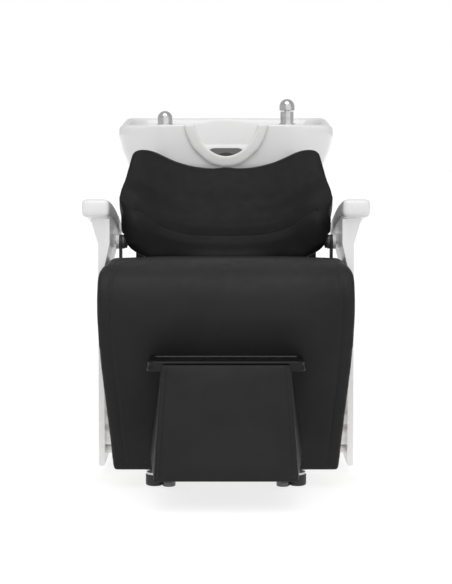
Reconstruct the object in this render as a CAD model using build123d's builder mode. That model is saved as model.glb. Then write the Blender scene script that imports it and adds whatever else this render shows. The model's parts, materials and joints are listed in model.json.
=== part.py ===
from build123d import *
import math
import os

# Salon backwash unit: a seat with a reclining bucket back, a pull-out footrest and a tilting
# ceramic wash bowl on a pedestal. Millimetres, +X to the right as seen from the front, +Y
# towards the bowl, +Z up. The origin is the centre of the footprint, on the floor.

os.makedirs("parts", exist_ok=True)

# ---------------------------------------------------------------- driving dimensions
FRONT_Y = -690.0
REAR_Y = 690.0
SEAT_FRONT_Y = -500.0
SEAT_REAR_Y = -125.0
SEAT_TOP_Z = 508.0
SEAT_HALF_WIDTH = 284.0
SEAT_BOARD_TOP_Z = 422.0
BOARD = 12.0
ROLL_RADIUS = 95.0
APRON_BOTTOM_Z = 44.0
APRON_SETBACK = 40.0
APRON_FOOT_THICKNESS = 20.0

RAIL_X = 162.5
RAIL_WIDTH = 40.0
RAIL_BOTTOM_Z = 38.0
RAIL_TOP_Z = 68.0
RAIL_FRONT_Y = -434.0
RAIL_REAR_Y = 600.0
TUBE_WALL = 2.0
FOOT_Y = (-419.0, 540.0)
FOOT_RADIUS = 20.8
STUD_RADIUS = 5.0

SEAT_TUBE = 25.0
SEAT_TUBE_BOTTOM_Z = 385.0
SEAT_TUBE_OUTER_X = 258.0
SEAT_CROSS_Y = (-380.0, -150.0, 20.0)
UPRIGHT_Y = (-380.0, -150.0)

PANEL_INNER_X = 286.0
PANEL_OUTER_X = 300.0
PANEL_FRONT_Y = -310.0
PANEL_BOTTOM_Z = 20.0
ARM_INNER_X = 268.0
ARM_OUTER_X = 327.0
ARM_THICKNESS = 38.0

PIVOT_Y = -90.0
PIVOT_Z = 537.0
PIVOT_PIN_RADIUS = 6.0
BACK_SLOPE = 26.7
BACK_BASE_Y = -90.0
BACK_BASE_Z = 500.0
BUCKET_RADIUS = 900.0
BACK_CUSHION = 75.0
BACK_SHELL = 10.0

BASIN_FRONT_Y = 150.0
BASIN_HALF_WIDTH = 291.0
DECK_Z = 831.0
REAR_RIM_Z = 862.0
TAP_X = 162.0
TAP_Y = 198.0
TAP_HOLE_RADIUS = 17.5
TAP_WELL_RADIUS = 24.0
TILT_Y = 400.0
TILT_Z = 600.0
DRAIN_Y = 600.0
DRAIN_Z = 735.0

FOOTREST_TOP_Z = 309.0
TRAY_FRONT_Y = -598.0
TRAY_REAR_Y = -495.0
TRAY_HALF_WIDTH = 169.5
SLIDE_BAR_X = (122.0, 138.0)
SLIDE_BAR_Z = (20.0, 36.0)

CLEARANCE = 0.5


# ---------------------------------------------------------------- helpers
def save(builder, name):
    """Label the finished piece and write its STEP file."""
    builder.part.label = name
    export_step(builder.part, f"parts/{name}.step")


def block(low, high, mode=Mode.ADD):
    """A box between its lowest and highest corners."""
    centre = tuple((a + b) / 2 for a, b in zip(low, high))
    with Locations(centre):
        Box(high[0] - low[0], high[1] - low[1], high[2] - low[2], mode=mode)


def square_tube(low, high, along):
    """A rectangular tube between two corners, open at both ends along the axis 0, 1 or 2."""
    block(low, high)
    inner_low = [c if i == along else c + TUBE_WALL for i, c in enumerate(low)]
    inner_high = [c if i == along else c - TUBE_WALL for i, c in enumerate(high)]
    block(inner_low, inner_high, mode=Mode.SUBTRACT)


def rod_x(start_x, end_x, y, z, radius, mode=Mode.ADD):
    """A round bar along X."""
    with Locations(Location(((start_x + end_x) / 2, y, z), (0, 90, 0))):
        Cylinder(radius, abs(end_x - start_x), mode=mode)


def rod_z(x, y, low_z, high_z, radius, mode=Mode.ADD):
    """A round bar along Z."""
    with Locations((x, y, (low_z + high_z) / 2)):
        Cylinder(radius, high_z - low_z, mode=mode)


def both_sides(*distances):
    """Each distance on the left and on the right of the middle plane."""
    return [side * d for d in distances for side in (-1, 1)]


# ---------------------------------------------------------------- base frame
with BuildPart() as base_rails:
    for x in both_sides(RAIL_X):
        half = RAIL_WIDTH / 2
        square_tube((x - half, RAIL_FRONT_Y, RAIL_BOTTOM_Z), (x + half, RAIL_REAR_Y, RAIL_TOP_Z), 1)
        for y in FOOT_Y:
            rod_z(x, y, RAIL_BOTTOM_Z - 1, RAIL_BOTTOM_Z + TUBE_WALL + 1, STUD_RADIUS, Mode.SUBTRACT)
save(base_rails, "base_rails")

CROSS_BOTTOM_Z = 42.0
BASE_CROSS_Y = (-330.0, 120.0, 560.0)
with BuildPart() as base_cross_tubes:
    inner_x = RAIL_X - RAIL_WIDTH / 2
    for y in BASE_CROSS_Y:
        square_tube((-inner_x, y - 15, CROSS_BOTTOM_Z), (inner_x, y + 15, RAIL_TOP_Z), 0)
save(base_cross_tubes, "base_cross_tubes")

PLUG_FLANGE = 3.0
PLUG_DEPTH = 12.0
with BuildPart() as rail_end_plugs:
    for x in both_sides(RAIL_X):
        for end, outward in ((RAIL_FRONT_Y, -1), (RAIL_REAR_Y, 1)):
            ys = sorted((end, end + outward * PLUG_FLANGE))
            half = RAIL_WIDTH / 2
            block((x - half, ys[0], RAIL_BOTTOM_Z), (x + half, ys[1], RAIL_TOP_Z))
            ys = sorted((end - outward * PLUG_DEPTH / 2, end))
            half -= TUBE_WALL
            low_z = RAIL_BOTTOM_Z + TUBE_WALL
            block((x - half, ys[0], low_z), (x + half, ys[1], RAIL_TOP_Z - TUBE_WALL))
save(rail_end_plugs, "rail_end_plugs")

FOOT_PAD_TOP_Z = 25.0
FOOT_NUT_TOP_Z = 31.0
STUD_BOTTOM_Z = 12.0
STUD_TOP_Z = 58.0
with BuildPart() as levelling_foot_pads:
    with Locations([(x, y, 0) for x in both_sides(RAIL_X) for y in FOOT_Y]):
        Cylinder(FOOT_RADIUS, FOOT_PAD_TOP_Z, align=(Align.CENTER, Align.CENTER, Align.MIN))
    fillet(levelling_foot_pads.edges().group_by(Axis.Z)[0], radius=4)
    with Locations([(x, y, STUD_BOTTOM_Z) for x in both_sides(RAIL_X) for y in FOOT_Y]):
        Cylinder(
            STUD_RADIUS,
            FOOT_PAD_TOP_Z,
            align=(Align.CENTER, Align.CENTER, Align.MIN),
            mode=Mode.SUBTRACT,
        )
save(levelling_foot_pads, "levelling_foot_pads")

with BuildPart() as levelling_foot_nuts:
    with BuildSketch(Plane.XY.offset(FOOT_PAD_TOP_Z)):
        with Locations([(x, y) for x in both_sides(RAIL_X) for y in FOOT_Y]):
            Circle(19)
            Circle(STUD_RADIUS, mode=Mode.SUBTRACT)
    extrude(amount=FOOT_NUT_TOP_Z - FOOT_PAD_TOP_Z)
save(levelling_foot_nuts, "levelling_foot_nuts")

with BuildPart() as levelling_foot_studs:
    for x in both_sides(RAIL_X):
        for y in FOOT_Y:
            rod_z(x, y, STUD_BOTTOM_Z, STUD_TOP_Z, STUD_RADIUS)
save(levelling_foot_studs, "levelling_foot_studs")

ANCHOR_X = 204.0
ANCHOR_Y = (100.0, 500.0)
ANCHOR_HOLE_RADIUS = 4.5
ANCHOR_PLATE = 4.0
ANCHOR_HALF_LENGTH = 25.0
with BuildPart() as floor_anchor_brackets:
    web_x = RAIL_X + RAIL_WIDTH / 2
    for y in ANCHOR_Y:
        low_y = y - ANCHOR_HALF_LENGTH
        high_y = y + ANCHOR_HALF_LENGTH
        block((web_x, low_y, 0), (web_x + ANCHOR_PLATE, high_y, RAIL_TOP_Z - 4))
        block((web_x, low_y, 0), (web_x + 42, high_y, ANCHOR_PLATE))
        rod_z(ANCHOR_X, y, -1, ANCHOR_PLATE + 1, ANCHOR_HOLE_RADIUS, Mode.SUBTRACT)
    mirror(about=Plane.YZ)
save(floor_anchor_brackets, "floor_anchor_brackets")

# ---------------------------------------------------------------- seat frame
with BuildPart() as seat_uprights:
    for x in both_sides(RAIL_X):
        for y in UPRIGHT_Y:
            square_tube((x - 15, y - 15, RAIL_TOP_Z), (x + 15, y + 15, SEAT_TUBE_BOTTOM_Z), 2)
save(seat_uprights, "seat_uprights")

SEAT_TUBE_TOP_Z = SEAT_TUBE_BOTTOM_Z + SEAT_TUBE
SEAT_SIDE_FRONT_Y = -430.0
SEAT_SIDE_REAR_Y = 35.0
SEAT_TUBE_INNER_X = SEAT_TUBE_OUTER_X - SEAT_TUBE
with BuildPart() as seat_side_tubes:
    square_tube(
        (SEAT_TUBE_INNER_X, SEAT_SIDE_FRONT_Y, SEAT_TUBE_BOTTOM_Z),
        (SEAT_TUBE_OUTER_X, SEAT_SIDE_REAR_Y, SEAT_TUBE_TOP_Z),
        1,
    )
    mirror(about=Plane.YZ)
save(seat_side_tubes, "seat_side_tubes")

with BuildPart() as seat_cross_tubes:
    for y in SEAT_CROSS_Y:
        low = (-SEAT_TUBE_INNER_X, y - SEAT_TUBE / 2, SEAT_TUBE_BOTTOM_Z)
        square_tube(low, (SEAT_TUBE_INNER_X, y + SEAT_TUBE / 2, SEAT_TUBE_TOP_Z), 0)
save(seat_cross_tubes, "seat_cross_tubes")

SEAT_BOARD_FRONT_Y = -448.0
SEAT_BOARD_HALF_WIDTH = 250.0
BOARD_REAR_Y = SEAT_REAR_Y - 3
with BuildPart() as seat_board:
    block(
        (-SEAT_BOARD_HALF_WIDTH, SEAT_BOARD_FRONT_Y, SEAT_TUBE_TOP_Z),
        (SEAT_BOARD_HALF_WIDTH, BOARD_REAR_Y, SEAT_BOARD_TOP_Z),
    )
    fillet(seat_board.edges().filter_by(Axis.Z), radius=20)
save(seat_board, "seat_board")

# ---------------------------------------------------------------- seat cushion and apron
APRON_FOOT_Y = SEAT_FRONT_Y + APRON_SETBACK
APRON_BACK_FOOT_Y = APRON_FOOT_Y + APRON_FOOT_THICKNESS
APRON_BACK_TOP_Y = -452.0
ROLL_Z = SEAT_TOP_Z - ROLL_RADIUS
ROLL_Y = SEAT_FRONT_Y + ROLL_RADIUS
ROLL_MID = ROLL_RADIUS * math.sqrt(0.5)
SEAT_REAR_TOP_Z = 498.0
with BuildPart() as seat_cushion:
    with BuildSketch(Plane.YZ):
        with BuildLine():
            Line((APRON_FOOT_Y, APRON_BOTTOM_Z), (SEAT_FRONT_Y, ROLL_Z))
            ThreePointArc(
                (SEAT_FRONT_Y, ROLL_Z),
                (ROLL_Y - ROLL_MID, ROLL_Z + ROLL_MID),
                (ROLL_Y, SEAT_TOP_Z),
            )
            Polyline(
                (ROLL_Y, SEAT_TOP_Z),
                (SEAT_REAR_Y, SEAT_REAR_TOP_Z),
                (SEAT_REAR_Y, SEAT_BOARD_TOP_Z),
                (APRON_BACK_TOP_Y, SEAT_BOARD_TOP_Z),
                (APRON_BACK_TOP_Y, 330),
                (APRON_BACK_FOOT_Y, APRON_BOTTOM_Z),
                (APRON_FOOT_Y, APRON_BOTTOM_Z),
            )
        make_face()
    extrude(amount=SEAT_HALF_WIDTH, both=True)
    with BuildSketch(Plane.XZ):
        with BuildLine():
            Line((0, APRON_BOTTOM_Z), (253, APRON_BOTTOM_Z))
            Spline((253, APRON_BOTTOM_Z), (264, 161), (278, 296), (SEAT_HALF_WIDTH, 400))
            Line((SEAT_HALF_WIDTH, 400), (SEAT_HALF_WIDTH, 472))
            ThreePointArc((SEAT_HALF_WIDTH, 472), (275, 498), (248, 510))
            Polyline((248, 510), (0, 510), (0, APRON_BOTTOM_Z))
        make_face()
        mirror(about=Plane.YZ)
    extrude(amount=600, both=True, mode=Mode.INTERSECT)
save(seat_cushion, "seat_cushion")

APRON_BOARD_LOW_Z = 75.0
APRON_BOARD_HIGH_Z = 328.0
APRON_BOARD_LOW_Y = APRON_BACK_FOOT_Y + 0.3
APRON_BOARD_HIGH_Y = APRON_BACK_TOP_Y + 1.5
with BuildPart() as apron_board:
    with BuildSketch(Plane.YZ):
        with BuildLine():
            Polyline(
                (APRON_BOARD_LOW_Y, APRON_BOARD_LOW_Z),
                (APRON_BOARD_LOW_Y + BOARD, APRON_BOARD_LOW_Z),
                (APRON_BOARD_HIGH_Y + BOARD, APRON_BOARD_HIGH_Z),
                (APRON_BOARD_HIGH_Y, APRON_BOARD_HIGH_Z),
                close=True,
            )
        make_face()
    extrude(amount=240, both=True)
save(apron_board, "apron_board")

# ---------------------------------------------------------------- side panels and armrests
ARM_TOP = ((-380, 649), (-210, 631), (-63, 603), (41, 578))


def arm_outline(drop):
    """The armrest's top line, lowered by a distance."""
    return [(y, z - drop) for y, z in ARM_TOP]


PANEL_FOOT_REAR_Y = 40.0
with BuildPart() as side_panel_left:
    with BuildSketch(Plane.XZ):
        with BuildLine():
            FilletPolyline(
                (PANEL_INNER_X, PANEL_BOTTOM_Z),
                (PANEL_OUTER_X, PANEL_BOTTOM_Z),
                (298, 470),
                (298, 545),
                (318, 613),
                (271, 613),
                (271, 545),
                (PANEL_INNER_X, 480),
                radius=4,
                close=True,
            )
        make_face()
    extrude(amount=700, both=True)
    with BuildSketch(Plane.YZ):
        with BuildLine():
            Polyline(
                (PANEL_FRONT_Y, PANEL_BOTTOM_Z),
                (PANEL_FRONT_Y, 603.5),
                (-210, 631 - ARM_THICKNESS),
                (-63, 603 - ARM_THICKNESS),
                (15, 584.2 - ARM_THICKNESS),
            )
            Spline(
                (15, 584.2 - ARM_THICKNESS),
                (-25, 320),
                (PANEL_FOOT_REAR_Y, PANEL_BOTTOM_Z),
            )
            Line((PANEL_FOOT_REAR_Y, PANEL_BOTTOM_Z), (PANEL_FRONT_Y, PANEL_BOTTOM_Z))
        make_face()
    extrude(amount=400, both=True, mode=Mode.INTERSECT)
    with Locations(Location(((264.3 + 272) / 2, PIVOT_Y, PIVOT_Z), (0, 90, 0))):
        Cylinder(18, 272 - 264.3)
    rod_x(255, 285, PIVOT_Y, PIVOT_Z, PIVOT_PIN_RADIUS + 0.3, Mode.SUBTRACT)
save(side_panel_left, "side_panel_left")

with BuildPart() as side_panel_right:
    mirror(side_panel_left.part, about=Plane.YZ)
save(side_panel_right, "side_panel_right")

with BuildPart() as armrest_left:
    with BuildSketch(Plane.YZ.offset(ARM_INNER_X)):
        with BuildLine():
            Spline(*arm_outline(0))
            Spline(*arm_outline(ARM_THICKNESS))
            Line(arm_outline(0)[0], arm_outline(ARM_THICKNESS)[0])
            Line(arm_outline(0)[-1], arm_outline(ARM_THICKNESS)[-1])
        make_face()
    extrude(amount=ARM_OUTER_X - ARM_INNER_X)
    fillet(armrest_left.edges().filter_by(Axis.X), radius=8)
save(armrest_left, "armrest_left")

with BuildPart() as armrest_right:
    mirror(armrest_left.part, about=Plane.YZ)
save(armrest_right, "armrest_right")

SPACER_Z = SEAT_TUBE_BOTTOM_Z + SEAT_TUBE / 2
SPACER_Y = (-270.0, -60.0)
SPACER_RADIUS = 10.0
PANEL_SCREW_RADIUS = 4.0
LOW_SPACER_Z = 53.0
LOW_SPACER_START_X = RAIL_X + RAIL_WIDTH / 2
PANEL_FIXINGS = [(y, SPACER_Z, SEAT_TUBE_OUTER_X) for y in SPACER_Y]
PANEL_FIXINGS += [(y, LOW_SPACER_Z, LOW_SPACER_START_X) for y in (-270.0, -10.0)]
with BuildPart() as panel_spacers:
    for y, z, start_x in PANEL_FIXINGS:
        rod_x(start_x, PANEL_INNER_X, y, z, SPACER_RADIUS)
        rod_x(start_x - 1, PANEL_INNER_X + 1, y, z, PANEL_SCREW_RADIUS, Mode.SUBTRACT)
    mirror(about=Plane.YZ)
save(panel_spacers, "panel_spacers")

with BuildPart() as panel_screws:
    for y, z, start_x in PANEL_FIXINGS:
        rod_x(start_x, PANEL_INNER_X, y, z, PANEL_SCREW_RADIUS)
    mirror(about=Plane.YZ)
save(panel_screws, "panel_screws")

# ---------------------------------------------------------------- recline brackets and stops
BRACKET_PLATE = 6.0
BRACKET_HALF_WIDTH = 18.0
with BuildPart() as recline_brackets:
    low_z = SEAT_TUBE_BOTTOM_Z
    outer_x = SEAT_TUBE_OUTER_X + BRACKET_PLATE
    front = PIVOT_Y - BRACKET_HALF_WIDTH
    rear = PIVOT_Y + BRACKET_HALF_WIDTH
    block((SEAT_TUBE_OUTER_X, front, low_z), (outer_x, rear, PIVOT_Z))
    rod_x(SEAT_TUBE_OUTER_X, outer_x, PIVOT_Y, PIVOT_Z, BRACKET_HALF_WIDTH)
    hole = PIVOT_PIN_RADIUS + 0.05
    rod_x(SEAT_TUBE_OUTER_X - 1, outer_x + 1, PIVOT_Y, PIVOT_Z, hole, Mode.SUBTRACT)
    mirror(about=Plane.YZ)
save(recline_brackets, "recline_brackets")

STOP_POST_X = 219.5
STOP_POST_HALF = 10.0
STOP_POST_Y = 20.0
STOP_POST_TOP_Z = 545.0
with BuildPart() as recline_stop_posts:
    for x in both_sides(STOP_POST_X):
        low = (x - STOP_POST_HALF, STOP_POST_Y - STOP_POST_HALF, SEAT_TUBE_TOP_Z)
        high = (x + STOP_POST_HALF, STOP_POST_Y + STOP_POST_HALF, STOP_POST_TOP_Z)
        square_tube(low, high, 2)
save(recline_stop_posts, "recline_stop_posts")

# ---------------------------------------------------------------- reclining back
# The back leans by BACK_SLOPE from upright and wraps the sitter on a vertical-axis arc.
LEAN_Y = math.sin(math.radians(BACK_SLOPE))
LEAN_Z = math.cos(math.radians(BACK_SLOPE))
SWEEP_START = 60.0
SWEEP_LENGTH = 400.0
BACK_PLANE = Plane(
    origin=(0, BACK_BASE_Y - SWEEP_START * LEAN_Y, BACK_BASE_Z - SWEEP_START * LEAN_Z),
    x_dir=(1, 0, 0),
    z_dir=(0, LEAN_Y, LEAN_Z),
)
ARM_SLOT_X = 243.0
ARM_SLOT_TOP_Z = 558.0


def bucket_band(near, far, mode=Mode.ADD):
    """A leaning curved slab between two depths behind the back's front face."""
    with BuildSketch(BACK_PLANE) as band:
        with Locations((0, -BUCKET_RADIUS)):
            Circle(BUCKET_RADIUS + far)
            Circle(BUCKET_RADIUS + near, mode=Mode.SUBTRACT)
        Rectangle(600, 300, mode=Mode.INTERSECT)
    extrude(band.sketch, amount=SWEEP_LENGTH, mode=mode)


def back_outline(inset):
    """Cut the slab to the front outline of the back, drawn on the XZ plane and inset all round."""
    foot = 500 + inset
    slot_x = ARM_SLOT_X - inset
    slot_z = ARM_SLOT_TOP_Z + inset
    flank = [(259, 0), (262, 600), (266, 632), (256, 675), (246, 712), (238, 745)]
    flank = [(x - inset, z or slot_z) for x, z in flank]
    crest = [(228, 760), (212, 763), (192, 760), (143, 738.5), (100, 724), (0, 719)]
    crest = [flank[-1]] + [(x, z - inset) for x, z in crest]
    with BuildSketch(Plane.XZ) as outline:
        with BuildLine():
            Polyline((0, foot), (195, foot), (217 - inset, 509 + inset), (236 - inset, 522 + inset))
            Polyline((236 - inset, 522 + inset), (slot_x, 532 + inset), (slot_x, slot_z), flank[0])
            Spline(*flank)
            Spline(*crest)
            Line(crest[-1], (0, foot))
        make_face()
        mirror(about=Plane.YZ)
    extrude(outline.sketch, amount=500, both=True, mode=Mode.INTERSECT)


with BuildPart() as backrest_cushion:
    bucket_band(0, BACK_CUSHION)
    back_outline(0)
save(backrest_cushion, "backrest_cushion")

SHELL_INSET = 8.0
with BuildPart() as backrest_shell:
    bucket_band(BACK_CUSHION, BACK_CUSHION + BACK_SHELL)
    back_outline(SHELL_INSET)
save(backrest_shell, "backrest_shell")

BUMPER_FRONT_GAP = 0.4
with BuildPart() as recline_stop_bumpers:
    for x in both_sides(STOP_POST_X):
        front_y = STOP_POST_Y - STOP_POST_HALF - 14
        low = (x - STOP_POST_HALF, front_y, STOP_POST_TOP_Z - 34)
        block(low, (x + STOP_POST_HALF, STOP_POST_Y - STOP_POST_HALF, STOP_POST_TOP_Z - 4))
    bucket_band(-200, BACK_CUSHION + BACK_SHELL + BUMPER_FRONT_GAP, Mode.SUBTRACT)
save(recline_stop_bumpers, "recline_stop_bumpers")

ARM_PLATE_X = (245.0, 251.0)
BACK_TUBE_Y = 54.0
BACK_TUBE_Z = 548.0
BACK_TUBE_HALF = 12.5
with BuildPart() as backrest_arms:
    low_y = PIVOT_Y
    block((ARM_PLATE_X[0], low_y, 525), (ARM_PLATE_X[1], BACK_TUBE_Y + BACK_TUBE_HALF, 549))
    rod_x(*ARM_PLATE_X, PIVOT_Y, PIVOT_Z, 16)
    rod_x(ARM_PLATE_X[0] - 1, ARM_PLATE_X[1] + 1, PIVOT_Y, PIVOT_Z, PIVOT_PIN_RADIUS, Mode.SUBTRACT)
    mirror(about=Plane.YZ)
save(backrest_arms, "backrest_arms")

with BuildPart() as backrest_cross_tube:
    low = (-ARM_PLATE_X[0], BACK_TUBE_Y - BACK_TUBE_HALF, BACK_TUBE_Z - BACK_TUBE_HALF)
    high = (ARM_PLATE_X[0], BACK_TUBE_Y + BACK_TUBE_HALF, BACK_TUBE_Z + BACK_TUBE_HALF)
    square_tube(low, high, 0)
save(backrest_cross_tube, "backrest_cross_tube")

# Two flat stays run up the shell from the cross tube.
STAY_X = 125.0
STAY_DEPTH = BACK_CUSHION + BACK_SHELL + 1.2
STAY_THICKNESS = 5.0
with BuildPart() as backrest_stays:
    with BuildSketch(BACK_PLANE) as stay_section:
        with Locations([(x, STAY_DEPTH - 8 + STAY_THICKNESS / 2) for x in both_sides(STAY_X)]):
            Rectangle(30, STAY_THICKNESS)
    extrude(stay_section.sketch, amount=285)
    block((-200, -100, 400), (200, 200, BACK_TUBE_Z - BACK_TUBE_HALF), mode=Mode.SUBTRACT)
    add(backrest_cross_tube.part, mode=Mode.SUBTRACT)
    bucket_band(-200, BACK_CUSHION + BACK_SHELL, Mode.SUBTRACT)
save(backrest_stays, "backrest_stays")

with BuildPart() as pivot_pins:
    rod_x(ARM_PLATE_X[0], 284, PIVOT_Y, PIVOT_Z, PIVOT_PIN_RADIUS)
    mirror(about=Plane.YZ)
save(pivot_pins, "pivot_pins")

CAP_X = (251.0, 257.6)
CAP_RADIUS = 17.5
with BuildPart() as pivot_caps:
    rod_x(*CAP_X, PIVOT_Y, PIVOT_Z, CAP_RADIUS)
    rod_x(CAP_X[0] - 1, CAP_X[1] + 1, PIVOT_Y, PIVOT_Z, PIVOT_PIN_RADIUS, Mode.SUBTRACT)
    fillet(pivot_caps.edges().filter_by(GeomType.CIRCLE).sort_by(SortBy.RADIUS)[-2:], radius=1.5)
    mirror(about=Plane.YZ)
save(pivot_caps, "pivot_caps")

# ---------------------------------------------------------------- footrest carriage and guides
GUIDE_Y = (-395.0, -270.0)
GUIDE_TOP_Z = 58.0
GUIDE_BOTTOM_Z = 20.5
GUIDE_INNER_X = 124.0
with BuildPart() as slide_guides:
    inner_x = RAIL_X - RAIL_WIDTH / 2
    for y in GUIDE_Y:
        block((GUIDE_INNER_X, y - 15, GUIDE_BOTTOM_Z), (inner_x, y + 15, GUIDE_TOP_Z))
    low = (SLIDE_BAR_X[0] - CLEARANCE, -500, GUIDE_BOTTOM_Z - 1)
    block(low, (SLIDE_BAR_X[1] + CLEARANCE, 0, SLIDE_BAR_Z[1] + CLEARANCE), mode=Mode.SUBTRACT)
    mirror(about=Plane.YZ)
save(slide_guides, "slide_guides")

RISER_FRONT_Y = -494.0
RISER_REAR_Y = -486.0
RISER_TOP_Z = 160.0
SLIDE_BAR_REAR_Y = -150.0
with BuildPart() as footrest_risers:
    low = (SLIDE_BAR_X[0], RISER_FRONT_Y, SLIDE_BAR_Z[0])
    block(low, (SLIDE_BAR_X[1], RISER_REAR_Y, RISER_TOP_Z))
    mirror(about=Plane.YZ)
save(footrest_risers, "footrest_risers")

with BuildPart() as footrest_slide_bars:
    low = (SLIDE_BAR_X[0], RISER_REAR_Y, SLIDE_BAR_Z[0])
    block(low, (SLIDE_BAR_X[1], SLIDE_BAR_REAR_Y, SLIDE_BAR_Z[1]))
    mirror(about=Plane.YZ)
save(footrest_slide_bars, "footrest_slide_bars")

with BuildPart() as footrest_rear_crossbar:
    low = (-SLIDE_BAR_X[0], SLIDE_BAR_REAR_Y - 25, SLIDE_BAR_Z[0])
    block(low, (SLIDE_BAR_X[0], SLIDE_BAR_REAR_Y, SLIDE_BAR_Z[1]))
save(footrest_rear_crossbar, "footrest_rear_crossbar")

# The rear glide feet are the smaller pair, to pass between the levelling feet.
GLIDE_BOTTOM_Z = 1.5
FRONT_GLIDE = (129.5, -437.0, 15.0)
REAR_GLIDE = (128.0, -165.0, 12.0)
with BuildPart() as footrest_glide_feet:
    for glide_x, glide_y, glide_radius in (FRONT_GLIDE, REAR_GLIDE):
        for x in both_sides(glide_x):
            rod_z(x, glide_y, GLIDE_BOTTOM_Z, SLIDE_BAR_Z[0], glide_radius)
    fillet(footrest_glide_feet.edges().group_by(Axis.Z)[0], radius=2)
save(footrest_glide_feet, "footrest_glide_feet")

# ---------------------------------------------------------------- footrest box
PAD_REAR_Y = -503.0
PAD_TOP_Z = 286.0
PAD_LIP_Y = -599.0
PAD_TOP = (139.0, -606.0, 303.0)
PAD_TOE = (152.0, FRONT_Y, 67.0)
PAD_REAR_FOOT = (171.0, 99.0)
PAD_REAR_HEAD = (139.0, 303.0)
CORE_HALF_WIDTH = 126.0
CORE_PANEL_HALF_WIDTH = 136.0
CORE_FRONT_Y = -575.0
CORE_Z = (125.0, 284.0)
face_drop = PAD_TOP[2] - PAD_TOE[2]
face_run = PAD_TOP[1] - PAD_TOE[1]
face_length = math.hypot(face_drop, face_run)
PAD_FACE_PLANE = Plane(
    origin=(0, PAD_TOE[1], PAD_TOE[2]),
    x_dir=(1, 0, 0),
    z_dir=(0, -face_drop / face_length, face_run / face_length),
)
with BuildPart() as footrest_pad:
    with BuildSketch(Plane.XZ.offset(-PAD_REAR_Y)):
        with BuildLine():
            Polyline(
                (-PAD_REAR_FOOT[0], PAD_REAR_FOOT[1]),
                PAD_REAR_FOOT,
                PAD_REAR_HEAD,
                (-PAD_REAR_HEAD[0], PAD_REAR_HEAD[1]),
                close=True,
            )
        make_face()
    with BuildSketch(PAD_FACE_PLANE):
        with BuildLine():
            Polyline(
                (-PAD_TOE[0], 0),
                (PAD_TOE[0], 0),
                (PAD_TOP[0], face_length),
                (-PAD_TOP[0], face_length),
                close=True,
            )
        make_face()
    loft(ruled=True)
    block((-200, PAD_LIP_Y, PAD_TOP_Z), (200, PAD_REAR_Y + 1, 320), mode=Mode.SUBTRACT)
    core_low = (-CORE_HALF_WIDTH, CORE_FRONT_Y, CORE_Z[0])
    block(core_low, (CORE_HALF_WIDTH, PAD_REAR_Y + 1, CORE_Z[1]), mode=Mode.SUBTRACT)
save(footrest_pad, "footrest_pad")

CORE_BACK_Y = RISER_FRONT_Y
with BuildPart() as footrest_core:
    block(core_low, (CORE_HALF_WIDTH, PAD_REAR_Y, CORE_Z[1]))
    inner_low = tuple(c + BOARD for c in core_low)
    inner_high = (CORE_HALF_WIDTH - BOARD, PAD_REAR_Y, CORE_Z[1] - BOARD)
    block(inner_low, inner_high, mode=Mode.SUBTRACT)
    panel_low = (-CORE_PANEL_HALF_WIDTH, PAD_REAR_Y, 108)
    block(panel_low, (CORE_PANEL_HALF_WIDTH, CORE_BACK_Y, CORE_Z[1]))
save(footrest_core, "footrest_core")

TRAY_SKIRT_Z = 287.0
TRAY_PLATE = 4.0
TRAY_RIM = 3.0
TRAY_FLARE = 5.0
TRAY_CORNER = 26.0
TRAY_RECESS_RIM = 6.0
tray_centre = (0, (TRAY_FRONT_Y + TRAY_REAR_Y) / 2)


def tray_section(z, grow):
    """The tray's rounded outline at one height, grown sideways by grow or shrunk all round."""
    width = 2 * (TRAY_HALF_WIDTH + grow)
    depth = TRAY_REAR_Y - TRAY_FRONT_Y + 2 * min(grow, 0)
    with BuildSketch(Plane.XY.offset(z)) as section:
        with Locations(tray_centre):
            RectangleRounded(width, depth, TRAY_CORNER + min(grow, 0))
    return section.sketch


with BuildPart() as footrest_tray:
    loft([tray_section(TRAY_SKIRT_Z, TRAY_FLARE), tray_section(FOOTREST_TOP_Z, 0.0)])
    underside = tray_section(FOOTREST_TOP_Z - 8, -TRAY_PLATE)
    extrude(underside, amount=-20, mode=Mode.SUBTRACT)
    recess = tray_section(FOOTREST_TOP_Z, -TRAY_RECESS_RIM)
    extrude(recess, amount=-TRAY_RIM, mode=Mode.SUBTRACT)
save(footrest_tray, "footrest_tray")

# ---------------------------------------------------------------- pedestal
PLATE_TOP_Z = 76.0
COVER_TOP_Z = 566.0
COVER_WALL = 4.0
COLUMN_TOP_Z = 532.0
with BuildPart() as pedestal_base_plate:
    block((-182, 290, RAIL_TOP_Z), (182, 590, PLATE_TOP_Z))
    fillet(pedestal_base_plate.edges().filter_by(Axis.Z), radius=10)
save(pedestal_base_plate, "pedestal_base_plate")

with BuildPart() as pedestal_column:
    square_tube((-50, TILT_Y - 30, PLATE_TOP_Z), (50, TILT_Y + 30, COLUMN_TOP_Z), 2)
save(pedestal_column, "pedestal_column")

COVER_FOOT = (268.0, 688.0, 138.0)
COVER_HEAD = (244.0, 688.0, 152.0)


def cover_loft(wall, mode):
    """The tapering pedestal form, moved inward by a wall thickness, and its closed top with it."""
    sections = []
    for z, (front, rear, half) in ((PLATE_TOP_Z, COVER_FOOT), (COVER_TOP_Z - wall, COVER_HEAD)):
        with BuildSketch(Plane.XY.offset(z)) as section:
            with Locations((0, (front + rear) / 2)):
                RectangleRounded(2 * (half - wall), rear - front - 2 * wall, 40 - wall)
        sections.append(section.sketch)
    loft(sections=sections, ruled=True, mode=mode)


with BuildPart() as pedestal_shroud:
    cover_loft(0, Mode.ADD)
    cover_loft(COVER_WALL, Mode.SUBTRACT)

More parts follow.
